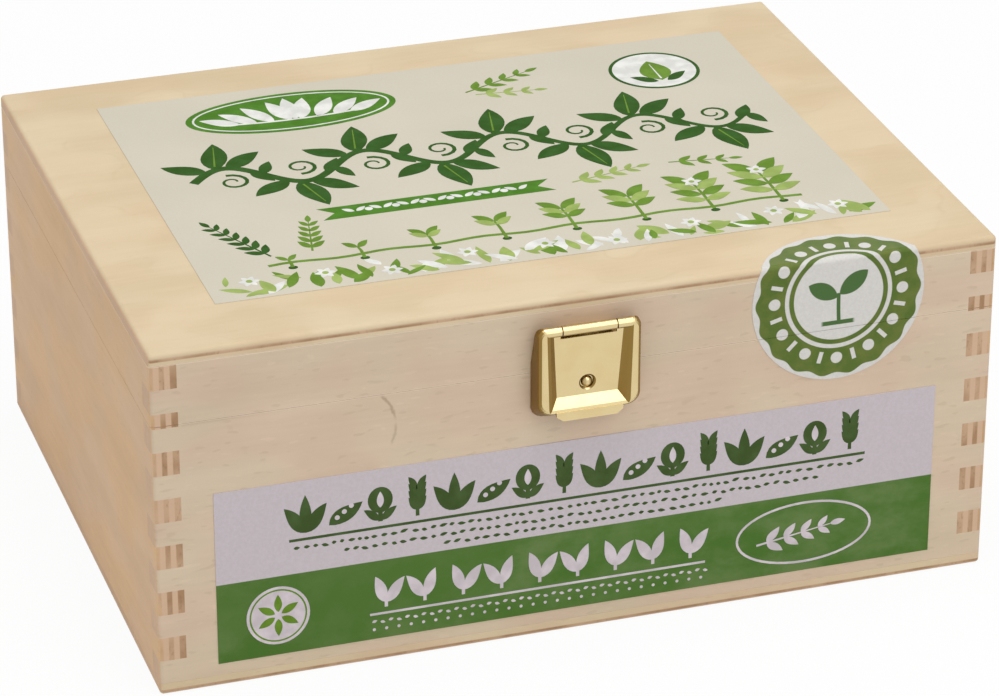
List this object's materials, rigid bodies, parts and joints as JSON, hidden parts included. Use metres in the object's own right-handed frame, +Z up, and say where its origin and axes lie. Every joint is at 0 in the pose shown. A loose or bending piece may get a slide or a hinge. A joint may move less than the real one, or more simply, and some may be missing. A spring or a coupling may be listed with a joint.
{
  "type": "garden seed organizer box",
  "caption": "Finger-jointed plywood seed box with a hinged lid, back hinges, a pressed brass snap clasp, paper labels and a round seal.",
  "frame": {"origin": "centre of the underside, at the ground", "axes": "+Z up, the front with the clasp faces -Y, +X to the right seen from the front"},
  "size_m": [0.205, 0.1631, 0.0878],
  "materials": {
    "plywood": "sanded raw birch plywood",
    "plywood_side": "sanded raw birch plywood",
    "plywood_top": "sanded raw birch plywood",
    "brass_sheet": "polished",
    "brass_rod": "polished",
    "brass_pressed": "polished",
    "brass_spring": "polished",
    "label_paper_top": "matt coated",
    "label_paper_front": "matt coated",
    "seal_paper": "satin coated"
  },
  "bodies": {
    "base": {"bottom_panel": "plywood", "base_front": "plywood", "base_back": "plywood", "base_left": "plywood_side", "base_right": "plywood_side", "hinge_base_leaves": "brass_sheet", "hinge_pins": "brass_rod", "hinge_base_nails": "brass_rod", "catch_plate": "brass_sheet", "catch_spring": "brass_spring", "catch_nails": "brass_rod", "front_label": "label_paper_front", "seal_lower": "seal_paper"},
    "lid": {"lid_panel": "plywood_top", "lid_front": "plywood", "lid_back": "plywood", "lid_left": "plywood_side", "lid_right": "plywood_side", "hinge_lid_leaves": "brass_sheet", "hinge_lid_nails": "brass_rod", "clasp_plate": "brass_sheet", "clasp_pin": "brass_rod", "clasp_plate_nails": "brass_rod", "top_label": "label_paper_top", "seal_upper": "seal_paper"},
    "flap": {"clasp_flap": "brass_pressed"}
  },
  "joints": [
    {"name": "lid_hinge", "type": "hinge", "parent": "base", "child": "lid", "pos_m": [0, 0.0789, 0.0695], "axis": [-1, 0, 0], "range_deg": [0, 180], "deforming": ["catch_spring"]},
    {"name": "clasp_hinge", "type": "hinge", "parent": "lid", "child": "flap", "pos_m": [0, -0.08105, 0.08105], "axis": [-1, 0, 0], "range_deg": [0, 180], "deforming": ["catch_spring"]}
  ]
}
